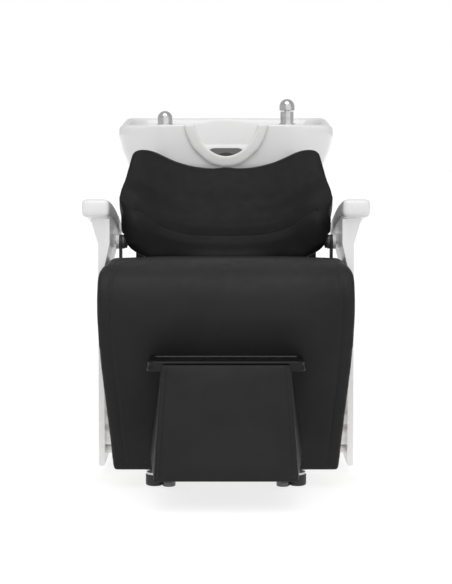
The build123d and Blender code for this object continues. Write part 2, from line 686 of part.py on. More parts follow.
DOOR_HALF_WIDTH = 98.0
DOOR_Z = (120.0, 520.0)
WASTE_SLOT_Y = 650.0
DOOR_GAP = 1.0
with BuildPart() as pedestal_cover:
    add(pedestal_shroud.part)
    low = (-DOOR_HALF_WIDTH, 560, DOOR_Z[0])
    block(low, (DOOR_HALF_WIDTH, REAR_Y, DOOR_Z[1]), mode=Mode.SUBTRACT)
    block((-66, TILT_Y - 46, 550), (66, TILT_Y + 46, 600), mode=Mode.SUBTRACT)
    with BuildSketch(Plane.XY.offset(COVER_TOP_Z)):
        with Locations((0, WASTE_SLOT_Y)):
            RectangleRounded(64, 62, 20)
    extrude(amount=-20, mode=Mode.SUBTRACT)
save(pedestal_cover, "pedestal_cover")

with BuildPart() as rear_service_panel:
    add(pedestal_shroud.part)
    low = (DOOR_GAP - DOOR_HALF_WIDTH, 560, DOOR_Z[0] + DOOR_GAP)
    high = (DOOR_HALF_WIDTH - DOOR_GAP, REAR_Y, DOOR_Z[1] - DOOR_GAP)
    block(low, high, mode=Mode.INTERSECT)
save(rear_service_panel, "rear_service_panel")

YOKE_EAR_X = (40.0, 48.0)
YOKE_PIN_RADIUS = 8.0
with BuildPart() as tilt_yoke:
    block((-60, TILT_Y - 40, COLUMN_TOP_Z), (60, TILT_Y + 40, COLUMN_TOP_Z + 8))
    for x in both_sides((YOKE_EAR_X[0] + YOKE_EAR_X[1]) / 2):
        low_x = x - 4
        high_x = x + 4
        block((low_x, TILT_Y - 25, COLUMN_TOP_Z + 8), (high_x, TILT_Y + 25, TILT_Z))
        rod_x(low_x, high_x, TILT_Y, TILT_Z, 25)
        hole = YOKE_PIN_RADIUS + 0.05
        rod_x(low_x - 1, high_x + 1, TILT_Y, TILT_Z, hole, Mode.SUBTRACT)
save(tilt_yoke, "tilt_yoke")

# ---------------------------------------------------------------- tilting bowl carrier
BASIN_BOTTOM_Z = 636.0
SADDLE_PLATE = 6.0
SADDLE_LUG_X = 38.0
with BuildPart() as tilt_saddle:
    top = BASIN_BOTTOM_Z
    block((-110, 300, top - SADDLE_PLATE), (110, 490, top))
    fillet(tilt_saddle.edges().filter_by(Axis.Z), radius=15)
    for x in both_sides(SADDLE_LUG_X - 4):
        block((x - 4, TILT_Y - 20, TILT_Z), (x + 4, TILT_Y + 20, top - SADDLE_PLATE))
        rod_x(x - 4, x + 4, TILT_Y, TILT_Z, 20)
        rod_x(x - 5, x + 5, TILT_Y, TILT_Z, YOKE_PIN_RADIUS, Mode.SUBTRACT)
save(tilt_saddle, "tilt_saddle")

PIN_LEFT_X = -58.0
PIN_RIGHT_X = 92.0
with BuildPart() as tilt_pin:
    rod_x(PIN_LEFT_X, PIN_RIGHT_X, TILT_Y, TILT_Z, YOKE_PIN_RADIUS)
    rod_x(PIN_LEFT_X - 6, PIN_LEFT_X, TILT_Y, TILT_Z, 13)
save(tilt_pin, "tilt_pin")

KNOB_X = (62.0, 98.0)
with BuildPart() as tilt_clamp_knob:
    rod_x(*KNOB_X, TILT_Y, TILT_Z, 14)
    with Locations(Location(((KNOB_X[0] + 6 + KNOB_X[1]) / 2, TILT_Y, TILT_Z), (0, 90, 0))):
        with PolarLocations(16, 5):
            Cylinder(7, KNOB_X[1] - KNOB_X[0] - 6)
    rod_x(KNOB_X[0] - 1, PIN_RIGHT_X + 0.5, TILT_Y, TILT_Z, YOKE_PIN_RADIUS + 0.05, Mode.SUBTRACT)
save(tilt_clamp_knob, "tilt_clamp_knob")

# ---------------------------------------------------------------- ceramic basin
# Heights with the front line, rear line, half width, front corner and rear corner radius.
OUTER_WALL = (
    (BASIN_BOTTOM_Z, 205, 500, 160, 70, 60),
    (680, 168, 575, 222, 100, 70),
    (722, BASIN_FRONT_Y, 632, 262, 120, 60),
    (764, BASIN_FRONT_Y, 668, 281, 138, 50),
    (805, BASIN_FRONT_Y, 686, BASIN_HALF_WIDTH, 148, 45),
    (850, BASIN_FRONT_Y, REAR_Y, BASIN_HALF_WIDTH, 148, 45),
    (870, BASIN_FRONT_Y, REAR_Y, BASIN_HALF_WIDTH, 148, 45),
)
# Heights with the front line, front half width, widest line, half width and rear line.
CAVITY = (
    (650, 245, 66, 335, 146, 500),
    (690, 198, 74, 356, 210, 552),
    (735, 174, 80, 376, 250, 600),
    (775, 166, 83, 384, 268, 645),
    (875, 162, 84, 385, 280, 676),
)
RIM_END_Y = 720.0
RIM_LINE = ((300, DECK_Z), (380, 838), (480, 850), (590, 859), (RIM_END_Y, REAR_RIM_Z))


def outer_section(z, front, rear, half, front_radius, rear_radius):
    """One horizontal section of the basin's outside."""
    with BuildSketch(Plane.XY.offset(z)) as section:
        with BuildLine():
            FilletPolyline(
                (-half, front),
                (half, front),
                (half, rear),
                (-half, rear),
                radius=(front_radius, front_radius, rear_radius, rear_radius),
                close=True,
            )
        make_face()
    return section.sketch


def cavity_section(z, front, front_half, widest, half, rear):
    """One horizontal section of the basin's bowl."""
    with BuildSketch(Plane.XY.offset(z)) as section:
        with BuildLine():
            FilletPolyline(
                (-front_half, front),
                (front_half, front),
                (half, widest),
                (half, rear),
                (-half, rear),
                (-half, widest),
                radius=(30, 30, 60, 60, 60, 60),
                close=True,
            )
        make_face()
    return section.sketch


def notch_profile(bottom_z, spread, top_z=880.0):
    """A parabolic U about the middle plane, closed along the top."""
    half = math.sqrt((top_z - bottom_z) / spread)
    with BuildSketch(Plane.XZ) as profile:
        with BuildLine():
            Bezier((-half, top_z), (0, 2 * bottom_z - top_z), (half, top_z))
            Line((half, top_z), (-half, top_z))
        make_face()
    return profile.sketch


NOTCH_INNER = (748.0, 0.0108)
NOTCH_CUT = (738.0, 0.0097)
NOTCH_OUTER = (721.0, 0.0081)
DRAIN_PLANE = Plane(origin=(0, DRAIN_Y, DRAIN_Z), x_dir=(1, 0, 0), z_dir=(0, -1, 1))
DISH_SIZE = (106.0, 100.0)
DISH_HALF = 3.0
DRAIN_HOLE_RADIUS = 27.0
with BuildPart() as basin:
    loft(sections=[outer_section(*row) for row in OUTER_WALL], ruled=True)
    with BuildSketch(Plane.YZ):
        with BuildLine():
            Line((100, 900), (100, DECK_Z))
            Line((100, DECK_Z), RIM_LINE[0])
            Spline(*RIM_LINE, tangents=((1, 0), (1, 0)))
            Polyline(RIM_LINE[-1], (RIM_END_Y, 900), (100, 900))
        make_face()
    extrude(amount=400, both=True, mode=Mode.SUBTRACT)
    loft(sections=[cavity_section(*row) for row in CAVITY], ruled=True, mode=Mode.SUBTRACT)
    cut = Pos(0, 240, 0) * extrude(notch_profile(*NOTCH_CUT), amount=120, mode=Mode.PRIVATE)
    add(cut, mode=Mode.SUBTRACT)
    for x in both_sides(TAP_X):
        rod_z(x, TAP_Y, 500, DECK_Z - 14, TAP_WELL_RADIUS, Mode.SUBTRACT)
        rod_z(x, TAP_Y, 500, DECK_Z + 10, TAP_HOLE_RADIUS, Mode.SUBTRACT)
    with BuildSketch(DRAIN_PLANE) as dish_seat:
        RectangleRounded(*DISH_SIZE, 20)
    extrude(dish_seat.sketch, amount=40, mode=Mode.SUBTRACT)
    extrude(dish_seat.sketch, amount=-DISH_HALF, mode=Mode.SUBTRACT)
    with BuildSketch(DRAIN_PLANE) as drain_hole:
        Circle(DRAIN_HOLE_RADIUS)
    extrude(drain_hole.sketch, amount=-140, mode=Mode.SUBTRACT)
save(basin, "basin")

NECK_FRONT_Y = 141.0
NECK_REAR_Y = 176.0


def notch_prism(profile, front_y, rear_y, mode):
    """A notch profile carried from its front line to its rear line."""
    extrude(Pos(0, rear_y, 0) * notch_profile(*profile), amount=rear_y - front_y, mode=mode)


with BuildPart() as neck_rest:
    notch_prism(NOTCH_OUTER, NECK_FRONT_Y, BASIN_FRONT_Y, Mode.ADD)
    notch_prism(NOTCH_CUT, BASIN_FRONT_Y, NECK_REAR_Y, Mode.ADD)
    notch_prism(NOTCH_INNER, NECK_FRONT_Y - 1, NECK_REAR_Y + 1, Mode.SUBTRACT)
    block((-200, 100, DECK_Z + 1), (200, 260, 900), mode=Mode.SUBTRACT)
save(neck_rest, "neck_rest")

# ---------------------------------------------------------------- drain
def drain_disc(near, far, radius, mode=Mode.ADD):
    """A round piece on the drain axis, between two heights above the dish plane."""
    with BuildSketch(DRAIN_PLANE.offset(near)) as disc:
        Circle(radius)
    extrude(disc.sketch, amount=far - near, mode=mode)


STRAINER_RADIUS = 30.0
STRAINER_SEAT = 1.0
with BuildPart() as strainer_dish:
    with BuildSketch(DRAIN_PLANE.offset(-DISH_HALF)) as dish_plate:
        RectangleRounded(DISH_SIZE[0] - 0.2, DISH_SIZE[1] - 0.2, 20)
    extrude(dish_plate.sketch, amount=2 * DISH_HALF)
    drain_disc(STRAINER_SEAT, DISH_HALF + 1, STRAINER_RADIUS + CLEARANCE, Mode.SUBTRACT)
    drain_disc(-DISH_HALF - 1, DISH_HALF, 25, Mode.SUBTRACT)
save(strainer_dish, "strainer_dish")

with BuildPart() as hair_strainer:
    drain_disc(STRAINER_SEAT + 0.2, DISH_HALF + 1, STRAINER_RADIUS)
    drain_disc(-14, STRAINER_SEAT + 0.2, 21)
    drain_disc(-12.5, STRAINER_SEAT - 0.5, 19.5, Mode.SUBTRACT)
    with BuildSketch(DRAIN_PLANE.offset(-20)) as strainer_holes:
        with PolarLocations(26, 18):
            Circle(1.6)
        for ring, count in ((6, 6), (12, 12), (17, 16)):
            with PolarLocations(ring, count):
                Circle(1.6)
    extrude(strainer_holes.sketch, amount=40, mode=Mode.SUBTRACT)
save(hair_strainer, "hair_strainer")

DRAIN_BORE_RADIUS = 23.0
DRAIN_TAIL = -62.0
with BuildPart() as drain_body:
    drain_disc(DRAIN_TAIL, -DISH_HALF, DRAIN_HOLE_RADIUS - 0.2)
    drain_disc(DRAIN_TAIL - 1, -DISH_HALF + 1, DRAIN_BORE_RADIUS, Mode.SUBTRACT)
save(drain_body, "drain_body")

with BuildPart() as drain_nut:
    with BuildSketch(DRAIN_PLANE.offset(-58)) as nut_face:
        RegularPolygon(36, 6)
        Circle(DRAIN_HOLE_RADIUS - 0.2, mode=Mode.SUBTRACT)
    extrude(nut_face.sketch, amount=14)
save(drain_nut, "drain_nut")

WASTE_RADIUS = 20.0
WASTE_WALL = 2.5
WASTE_END_Z = 545.0
WASTE_BEND = 40.0
axis_step = math.sqrt(0.5)
tail_y = DRAIN_Y - DRAIN_TAIL * axis_step
tail_z = DRAIN_Z + DRAIN_TAIL * axis_step
WASTE_Y = tail_y + WASTE_BEND * (1 - axis_step)
with BuildPart() as waste_elbow:
    with BuildLine() as waste_path:
        bend_end = (0, WASTE_Y, tail_z - WASTE_BEND * axis_step)
        TangentArc((0, tail_y, tail_z), bend_end, tangent=(0, 1, -1))
        Line(bend_end, (0, WASTE_Y, WASTE_END_Z))
    with BuildSketch(DRAIN_PLANE.offset(DRAIN_TAIL)) as waste_section:
        Circle(WASTE_RADIUS)
        Circle(WASTE_RADIUS - WASTE_WALL, mode=Mode.SUBTRACT)
    sweep(waste_section.sketch, path=waste_path.line)
    drain_disc(DRAIN_TAIL - 4, DRAIN_TAIL, DRAIN_HOLE_RADIUS - 0.2)
    drain_disc(DRAIN_TAIL - 5, DRAIN_TAIL + 1, WASTE_RADIUS - WASTE_WALL, Mode.SUBTRACT)
save(waste_elbow, "waste_elbow")

# ---------------------------------------------------------------- tap and hand shower
FLANGE_RADIUS = 22.0
FLANGE_TOP_Z = DECK_Z + 3
LEVER_PIVOT_Z = 866.0
DOME_RADIUS = 20.0
DOME_TOP_Z = 899.0
DOME_SKIRT_Z = LEVER_PIVOT_Z + 3
with BuildPart() as mixer_base:
    rod_z(TAP_X, TAP_Y, DECK_Z, FLANGE_TOP_Z, FLANGE_RADIUS)
    rod_z(TAP_X, TAP_Y, FLANGE_TOP_Z, LEVER_PIVOT_Z, TAP_HOLE_RADIUS)
    rod_z(TAP_X, TAP_Y, DECK_Z - 40, DECK_Z, TAP_HOLE_RADIUS - 0.3)
    for x in (TAP_X - 8, TAP_X + 8):
        rod_z(x, TAP_Y, DECK_Z - 95, DECK_Z - 40, 5)
save(mixer_base, "mixer_base")

with BuildPart() as mixer_cartridge:
    rod_z(TAP_X, TAP_Y, LEVER_PIVOT_Z + 0.3, LEVER_PIVOT_Z + 10, 7)
save(mixer_cartridge, "mixer_cartridge")

LEVER_TIP_Y = TAP_Y + 92
with BuildPart() as mixer_handle:
    rod_z(TAP_X, TAP_Y, DOME_SKIRT_Z, DOME_TOP_Z - DOME_RADIUS, DOME_RADIUS)
    with Locations((TAP_X, TAP_Y, DOME_TOP_Z - DOME_RADIUS)):
        Sphere(DOME_RADIUS)
    block((TAP_X - 7, TAP_Y + 12, 884), (TAP_X + 7, LEVER_TIP_Y, 892))
    fillet(mixer_handle.edges().group_by(Axis.Y)[-1].filter_by(Axis.Z), radius=6)
    rod_z(TAP_X, TAP_Y, DOME_SKIRT_Z - 30, DOME_SKIRT_Z + 6, 18.5, Mode.SUBTRACT)
    rod_z(TAP_X, TAP_Y, DOME_SKIRT_Z - 1, LEVER_PIVOT_Z + 13, 18, Mode.SUBTRACT)
save(mixer_handle, "mixer_handle")

SLEEVE_BORE_RADIUS = 14.0
with BuildPart() as shower_sleeve:
    rod_z(-TAP_X, TAP_Y, DECK_Z, FLANGE_TOP_Z, FLANGE_RADIUS)
    rod_z(-TAP_X, TAP_Y, DECK_Z - 60, DECK_Z, TAP_HOLE_RADIUS - 0.3)
    rod_z(-TAP_X, TAP_Y, DECK_Z - 61, FLANGE_TOP_Z + 1, SLEEVE_BORE_RADIUS, Mode.SUBTRACT)
save(shower_sleeve, "shower_sleeve")

NUT_TOP_Z = DECK_Z - 14
with BuildPart() as deck_nuts:
    with BuildSketch(Plane.XY.offset(NUT_TOP_Z - 8)):
        with Locations([(x, TAP_Y) for x in both_sides(TAP_X)]):
            RegularPolygon(22, 6)
            Circle(TAP_HOLE_RADIUS - 0.3, mode=Mode.SUBTRACT)
    extrude(amount=8)
save(deck_nuts, "deck_nuts")

SHOWER_RADIUS = 19.5
SHOWER_TOP_Z = 867.5
SHOWER_TAIL_Z = 715.0
SHOWER_HEAD_Z = SHOWER_TOP_Z - SHOWER_RADIUS
SHOWER_SEAT_Z = FLANGE_TOP_Z + 0.3
SPRAY_PLANE = Plane(
    origin=(-TAP_X, TAP_Y, SHOWER_HEAD_Z), x_dir=(1, 0, 0), z_dir=(0, 1, 0)
)
SPRAY_REACH = 34.0
with BuildPart() as hand_shower_body:
    rod_z(-TAP_X, TAP_Y, SHOWER_SEAT_Z, SHOWER_HEAD_Z, SHOWER_RADIUS)
    with Locations((-TAP_X, TAP_Y, SHOWER_HEAD_Z)):
        Sphere(SHOWER_RADIUS)
    block((-TAP_X - 30, TAP_Y - 30, 820), (-TAP_X + 30, TAP_Y + 30, SHOWER_SEAT_Z), Mode.SUBTRACT)
    with BuildSketch(SPRAY_PLANE) as spray_neck:
        Circle(12.5)
    extrude(spray_neck.sketch, amount=SPRAY_REACH)
    block((-TAP_X - 30, TAP_Y - 30, 820), (-TAP_X + 30, TAP_Y + 60, SHOWER_SEAT_Z), Mode.SUBTRACT)
    rod_z(-TAP_X, TAP_Y, SHOWER_TAIL_Z, SHOWER_SEAT_Z, SLEEVE_BORE_RADIUS - 1)
save(hand_shower_body, "hand_shower_body")

with BuildPart() as hand_shower_face:
    with BuildSketch(SPRAY_PLANE.offset(SPRAY_REACH)) as spray_plate:
        Circle(12)
    extrude(spray_plate.sketch, amount=3)
save(hand_shower_face, "hand_shower_face")

SCREW_Z = (140.0, 500.0)
DOOR_LEAN = math.atan((COVER_HEAD[1] - COVER_FOOT[1]) / (COVER_TOP_Z - PLATE_TOP_Z))
with BuildPart() as service_panel_screws:
    for x in both_sides(DOOR_HALF_WIDTH - 12):
        for z in SCREW_Z:
            lean_y = COVER_FOOT[1] + (z - PLATE_TOP_Z) * math.tan(DOOR_LEAN)
            with BuildSketch(
                Plane(
                    origin=(x, lean_y, z),
                    x_dir=(1, 0, 0),
                    z_dir=(0, math.cos(DOOR_LEAN), -math.sin(DOOR_LEAN)),
                )
            ) as screw_head:
                Circle(5)
            extrude(screw_head.sketch, amount=1.5)
save(service_panel_screws, "service_panel_screws")
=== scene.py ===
"""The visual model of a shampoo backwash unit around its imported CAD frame: white basin, black
upholstery and white side panels, in metres and in the frame of the CAD."""

import json
import math

import bmesh
import bpy
import numpy as np
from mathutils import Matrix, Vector
from mathutils.bvhtree import BVHTree
from mathutils.kdtree import KDTree

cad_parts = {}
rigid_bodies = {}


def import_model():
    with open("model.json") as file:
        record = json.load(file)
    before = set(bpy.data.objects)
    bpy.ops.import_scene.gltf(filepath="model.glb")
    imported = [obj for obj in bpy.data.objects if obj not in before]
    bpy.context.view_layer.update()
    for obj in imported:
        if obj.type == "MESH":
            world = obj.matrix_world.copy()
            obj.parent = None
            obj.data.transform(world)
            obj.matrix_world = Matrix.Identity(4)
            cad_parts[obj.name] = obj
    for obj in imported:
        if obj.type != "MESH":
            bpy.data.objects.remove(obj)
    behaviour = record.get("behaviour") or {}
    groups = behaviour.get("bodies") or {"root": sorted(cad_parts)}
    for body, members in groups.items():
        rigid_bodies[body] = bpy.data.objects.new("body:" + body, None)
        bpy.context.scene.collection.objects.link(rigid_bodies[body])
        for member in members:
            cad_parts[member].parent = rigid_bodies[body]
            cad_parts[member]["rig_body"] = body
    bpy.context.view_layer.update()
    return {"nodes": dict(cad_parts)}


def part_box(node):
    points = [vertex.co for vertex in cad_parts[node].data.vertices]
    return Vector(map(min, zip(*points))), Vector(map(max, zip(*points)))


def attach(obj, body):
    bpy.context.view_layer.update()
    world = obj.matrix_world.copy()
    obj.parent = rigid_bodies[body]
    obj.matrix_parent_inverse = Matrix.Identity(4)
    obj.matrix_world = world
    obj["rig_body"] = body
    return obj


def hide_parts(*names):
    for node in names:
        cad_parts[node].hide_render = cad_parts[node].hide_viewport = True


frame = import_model()
NODES = frame["nodes"]
SCENE = bpy.context.scene
SCENE.view_settings.view_transform = "Standard"
MM = 0.001


# ---------------------------------------------------------------- camera, light and floor

CAMERA_PLACE = (0.0, -3.670, 0.7464)
CAMERA_PITCH = 0.09328
CAMERA_LENS = 89.10
SENSOR_WIDTH = 36.0
# The white that the camera sees behind the object, and how strongly the world lights it.
BACKDROP = 1.0
WORLD_LIGHT = 0.65
# The floor's grey paint, and its own glow, which keeps the shadows on it faint.
FLOOR_HALF_WIDTH = 60.0
FLOOR_PAINT = 0.30
FLOOR_GLOW = 0.78
WHITE = (1.0, 1.0, 1.0, 1.0)


def make_camera():
    """The photo's camera, which looks slightly down at the front."""
    data = bpy.data.cameras.new("Camera")
    data.sensor_width = SENSOR_WIDTH
    data.lens = CAMERA_LENS
    camera = bpy.data.objects.new("Camera", data)
    SCENE.collection.objects.link(camera)
    camera.location = CAMERA_PLACE
    camera.rotation_euler = (math.pi / 2 - CAMERA_PITCH, 0.0, 0.0)
    SCENE.camera = camera


def make_sun(name, azimuth, elevation, strength, spread):
    """A sun with a wide disc, which lights the floor evenly. Azimuth 0 shines along +Y."""
    data = bpy.data.lights.new(name, "SUN")
    data.energy = strength
    data.angle = math.radians(spread)
    sun = bpy.data.objects.new(name, data)
    SCENE.collection.objects.link(sun)
    a, e = math.radians(azimuth), math.radians(elevation)
    towards = Vector((math.sin(a) * math.cos(e), math.cos(a) * math.cos(e), -math.sin(e)))
    sun.rotation_euler = towards.to_track_quat("-Z", "Y").to_euler()


def make_softbox(name, place, target, size, power):
    """A rectangular lamp at place, which faces target."""
    data = bpy.data.lights.new(name, "AREA")
    data.shape = "RECTANGLE"
    data.size, data.size_y = size
    data.energy = power
    box = bpy.data.objects.new(name, data)
    SCENE.collection.objects.link(box)
    box.location = place
    box.rotation_euler = (Vector(target) - Vector(place)).to_track_quat("-Z", "Y").to_euler()


def make_studio():
    """A white world, a sun from high in front, a fill from low in front and a softbox above."""
    world = bpy.data.worlds.new("Studio")
    SCENE.world = world
    world.use_nodes = True
    tree = world.node_tree
    shown = tree.nodes["Background"]
    shown.inputs["Color"].default_value = WHITE
    shown.inputs["Strength"].default_value = BACKDROP
    lit = tree.nodes.new("ShaderNodeBackground")
    lit.inputs["Color"].default_value = WHITE
    lit.inputs["Strength"].default_value = WORLD_LIGHT
    path = tree.nodes.new("ShaderNodeLightPath")
    mix = tree.nodes.new("ShaderNodeMixShader")
    tree.links.new(path.outputs["Is Camera Ray"], mix.inputs[0])
    tree.links.new(lit.outputs[0], mix.inputs[1])
    tree.links.new(shown.outputs[0], mix.inputs[2])
    tree.links.new(mix.outputs[0], tree.nodes["World Output"].inputs["Surface"])
    make_sun("Key", 8, 62, 0.74, 50)
    make_sun("Fill", -20, 15, 0.62, 80)
    make_softbox("TopSoftbox", (0.0, -0.9, 2.6), (0.0, 0.0, 0.5), (1.6, 1.2), 9)


def make_floor():
    half = FLOOR_HALF_WIDTH
    mesh = bpy.data.meshes.new("Floor")
    mesh.from_pydata([(-half, -half, 0), (half, -half, 0), (half, half, 0), (-half, half, 0)],
                     [], [(0, 1, 2, 3)])
    floor = bpy.data.objects.new("Floor", mesh)
    SCENE.collection.objects.link(floor)
    mat = bpy.data.materials.new("FloorPaint")
    mat.use_nodes = True
    bsdf = mat.node_tree.nodes["Principled BSDF"]
    bsdf.inputs["Base Color"].default_value = (FLOOR_PAINT, FLOOR_PAINT, FLOOR_PAINT, 1.0)
    bsdf.inputs["Emission Color"].default_value = WHITE
    bsdf.inputs["Emission Strength"].default_value = FLOOR_GLOW
    bsdf.inputs["Roughness"].default_value = 0.9
    bsdf.inputs["Specular IOR Level"].default_value = 0.1
    mesh.materials.append(mat)


# ---------------------------------------------------------------- materials

def texture(tree, coords, kind, scale, stretch=(1, 1, 1), detail=4.0):
    """A noise, grain or wave texture in the piece's own coordinates, and its 0 to 1 output."""
    mapping = tree.nodes.new("ShaderNodeMapping")
    mapping.inputs["Scale"].default_value = stretch
    tree.links.new(coords, mapping.inputs["Vector"])
    if kind == "noise":
        node = tree.nodes.new("ShaderNodeTexNoise")
        node.inputs["Detail"].default_value = detail
        out = node.outputs["Fac"]
    elif kind == "grain":
        node = tree.nodes.new("ShaderNodeTexVoronoi")
        node.feature = "DISTANCE_TO_EDGE"
        out = node.outputs["Distance"]
    else:
        node = tree.nodes.new("ShaderNodeTexWave")
        node.inputs["Distortion"].default_value = 2.5
        node.inputs["Detail"].default_value = detail
        out = node.outputs["Fac"]
    node.inputs["Scale"].default_value = scale
    tree.links.new(mapping.outputs[0], node.inputs["Vector"])
    return out


def spread_over(tree, value, from_range, to_range):
    """The value moved from one range to another, and held inside the second."""
    node = tree.nodes.new("ShaderNodeMapRange")
    node.inputs["From Min"].default_value, node.inputs["From Max"].default_value = from_range
    node.inputs["To Min"].default_value, node.inputs["To Max"].default_value = to_range
    tree.links.new(value, node.inputs["Value"])
    return node.outputs["Result"]


def make_material(name, dark, light, patch, rough, rough_scale, bumps, wear=None, stretch=(1, 1, 1),
                  pattern="noise", **sockets):
    """A Principled material. Its colour wanders from dark to light over patches, its roughness
    within rough, and bumps is a list of (texture, scale, stretch, depth in metres)."""
    mat = bpy.data.materials.new(name)
    mat.use_nodes = True
    tree = mat.node_tree
    bsdf = tree.nodes["Principled BSDF"]
    coords = tree.nodes.new("ShaderNodeTexCoord").outputs["Object"]
    tone = spread_over(tree, texture(tree, coords, pattern, patch, stretch), (0.3, 0.7), (0, 1))
    mix = tree.nodes.new("ShaderNodeMix")
    mix.data_type = "RGBA"
    mix.inputs["A"].default_value = (*dark, 1.0)
    mix.inputs["B"].default_value = (*light, 1.0)
    tree.links.new(tone, mix.inputs["Factor"])
    colour = mix.outputs["Result"]
    if wear is not None:
        edge = tree.nodes.new("ShaderNodeNewGeometry").outputs["Pointiness"]
        rub = spread_over(tree, edge, (0.53, 0.62), (0.0, 0.55))
        worn = tree.nodes.new("ShaderNodeMix")
        worn.data_type = "RGBA"
        worn.inputs["B"].default_value = (*wear, 1.0)
        tree.links.new(rub, worn.inputs["Factor"])
        tree.links.new(colour, worn.inputs["A"])
        colour = worn.outputs["Result"]
    tree.links.new(colour, bsdf.inputs["Base Color"])
    scuffs = texture(tree, coords, "noise", rough_scale, stretch, 6.0)
    tree.links.new(spread_over(tree, scuffs, (0.3, 0.7), rough), bsdf.inputs["Roughness"])
    normal = None
    for kind, scale, scaling, depth in bumps:
        height = texture(tree, coords, kind, scale, scaling)
        if kind == "grain":
            height = spread_over(tree, height, (0.0, 0.22), (0.0, 1.0))
        bump = tree.nodes.new("ShaderNodeBump")
        bump.inputs["Strength"].default_value = 1.0
        bump.inputs["Distance"].default_value = depth
        tree.links.new(height, bump.inputs["Height"])
        if normal is not None:
            tree.links.new(normal, bump.inputs["Normal"])
        normal = bump.outputs["Normal"]
    tree.links.new(normal, bsdf.inputs["Normal"])
    for key, value in sockets.items():
        bsdf.inputs[key.replace("_", " ")].default_value = value
    return mat


EVEN = (1, 1, 1)
LOOKS = {
    # The seat's black leather given a darker colour for the backrest: painted shade.
    "back_leather": make_material(
        "ShadedBackLeather", (0.0042, 0.0042, 0.0044), (0.0072, 0.0072, 0.0074), 7.0, (0.42, 0.54), 45.0,
        [("noise", 30.0, EVEN, 0.0005), ("grain", 620.0, EVEN, 0.00010)],
        Specular_IOR_Level=0.14),
    # The shells' white plastic made lighter for the side panels and spacers: painted light.
    "panel_white": make_material(
        "LitPanelWhite", (0.86, 0.86, 0.857), (0.88, 0.88, 0.877), 4.0, (0.26, 0.32), 12.0,
        [("noise", 9.0, EVEN, 0.00006)],
        Specular_IOR_Level=0.5, Coat_Weight=0.2, Coat_Roughness=0.12),
    "black_leather": make_material(
        "Leather", (0.0075, 0.0075, 0.0078), (0.0115, 0.0115, 0.0118), 7.0, (0.40, 0.52), 45.0,
        [("noise", 30.0, EVEN, 0.0005), ("grain", 620.0, EVEN, 0.00010)],
        Specular_IOR_Level=0.20),
    "white_shell": make_material(
        "WhiteShell", (0.66, 0.66, 0.657), (0.70, 0.70, 0.697), 5.0, (0.20, 0.30), 60.0,
        [("noise", 120.0, EVEN, 0.00004)],
        Specular_IOR_Level=0.5, Coat_Weight=0.25, Coat_Roughness=0.12),
    "white_ceramic": make_material(
        "Ceramic", (0.67, 0.67, 0.668), (0.70, 0.70, 0.698), 4.0, (0.10, 0.18), 25.0,
        [("noise", 16.0, EVEN, 0.0004), ("noise", 400.0, EVEN, 0.00001)],
        Specular_IOR_Level=0.5, Coat_Weight=0.4, Coat_Roughness=0.06),
    "white_silicone": make_material(
        "Silicone", (0.68, 0.68, 0.675), (0.72, 0.72, 0.715), 12.0, (0.34, 0.46), 90.0,
        [("noise", 900.0, EVEN, 0.00004)], Specular_IOR_Level=0.4,
        Subsurface_Weight=0.08, Subsurface_Scale=0.01),
    "chrome": make_material(
        "Chrome", (0.48, 0.48, 0.49), (0.62, 0.62, 0.63), 60.0, (0.06, 0.20), 140.0,
        [("noise", 300.0, (1, 1, 0.15), 0.00001)], Metallic=1.0),
    # The chrome darkened for the glide feet: painted shade in place of the dark things they
    # reflect.
    "dark_chrome": make_material(
        "ShadedChrome", (0.10, 0.10, 0.105), (0.16, 0.16, 0.165), 60.0, (0.08, 0.20), 140.0,
        [("noise", 300.0, (1, 1, 0.15), 0.00001)], Metallic=1.0),
    "steel": make_material(
        "ZincSteel", (0.46, 0.46, 0.48), (0.62, 0.62, 0.63), 90.0, (0.28, 0.46), 220.0,
        [("noise", 500.0, (1, 1, 0.1), 0.00004)], Metallic=1.0),
    "black_steel": make_material(
        "PowderCoat", (0.016, 0.016, 0.017), (0.026, 0.026, 0.027), 20.0, (0.40, 0.56), 80.0,
        [("noise", 700.0, EVEN, 0.00008)], wear=(0.09, 0.09, 0.092), Specular_IOR_Level=0.45),
    "black_plastic": make_material(
        "BlackPlastic", (0.018, 0.018, 0.018), (0.028, 0.028, 0.028), 25.0, (0.45, 0.62), 110.0,
        [("grain", 1100.0, EVEN, 0.00006)], wear=(0.06, 0.06, 0.06), Specular_IOR_Level=0.4),
    "gloss_black": make_material(
        "GlossBlack", (0.005, 0.005, 0.005), (0.009, 0.009, 0.009), 12.0, (0.08, 0.17), 150.0,
        [("noise", 90.0, EVEN, 0.00004)], Specular_IOR_Level=0.16, Coat_Weight=0.1,
        Coat_Roughness=0.05),
    "grey_plastic": make_material(
        "GreyPlastic", (0.078, 0.078, 0.080), (0.100, 0.100, 0.102), 22.0, (0.36, 0.50), 120.0,
        [("grain", 1000.0, EVEN, 0.00005)], wear=(0.15, 0.15, 0.15), Specular_IOR_Level=0.45),
    "black_rubber": make_material(
        "Rubber", (0.014, 0.014, 0.014), (0.024, 0.024, 0.024), 60.0, (0.62, 0.80), 160.0,
        [("noise", 600.0, EVEN, 0.00012)], wear=(0.05, 0.05, 0.05), Specular_IOR_Level=0.3),
    "plywood": make_material(
        "Plywood", (0.42, 0.29, 0.17), (0.60, 0.45, 0.28), 9.0, (0.50, 0.70), 70.0,
        [("wave", 30.0, (1, 6, 1), 0.0002)], stretch=(1, 7, 7), pattern="wave",
        Specular_IOR_Level=0.3),
    "thread": make_material(
        "Thread", (0.012, 0.012, 0.012), (0.03, 0.03, 0.03), 300.0, (0.5, 0.7), 300.0,
        [("wave", 900.0, EVEN, 0.0001)], Specular_IOR_Level=0.35),
}


# ---------------------------------------------------------------- mesh tools

def add_object(name, mesh, slot, body):
    """A new piece in the scene: its material, the slot it takes its finish from and its body."""
    obj = bpy.data.objects.new(name, mesh)
    SCENE.collection.objects.link(obj)
    mesh.materials.clear()
    mesh.materials.append(LOOKS[slot])
    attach(obj, body)
    return obj


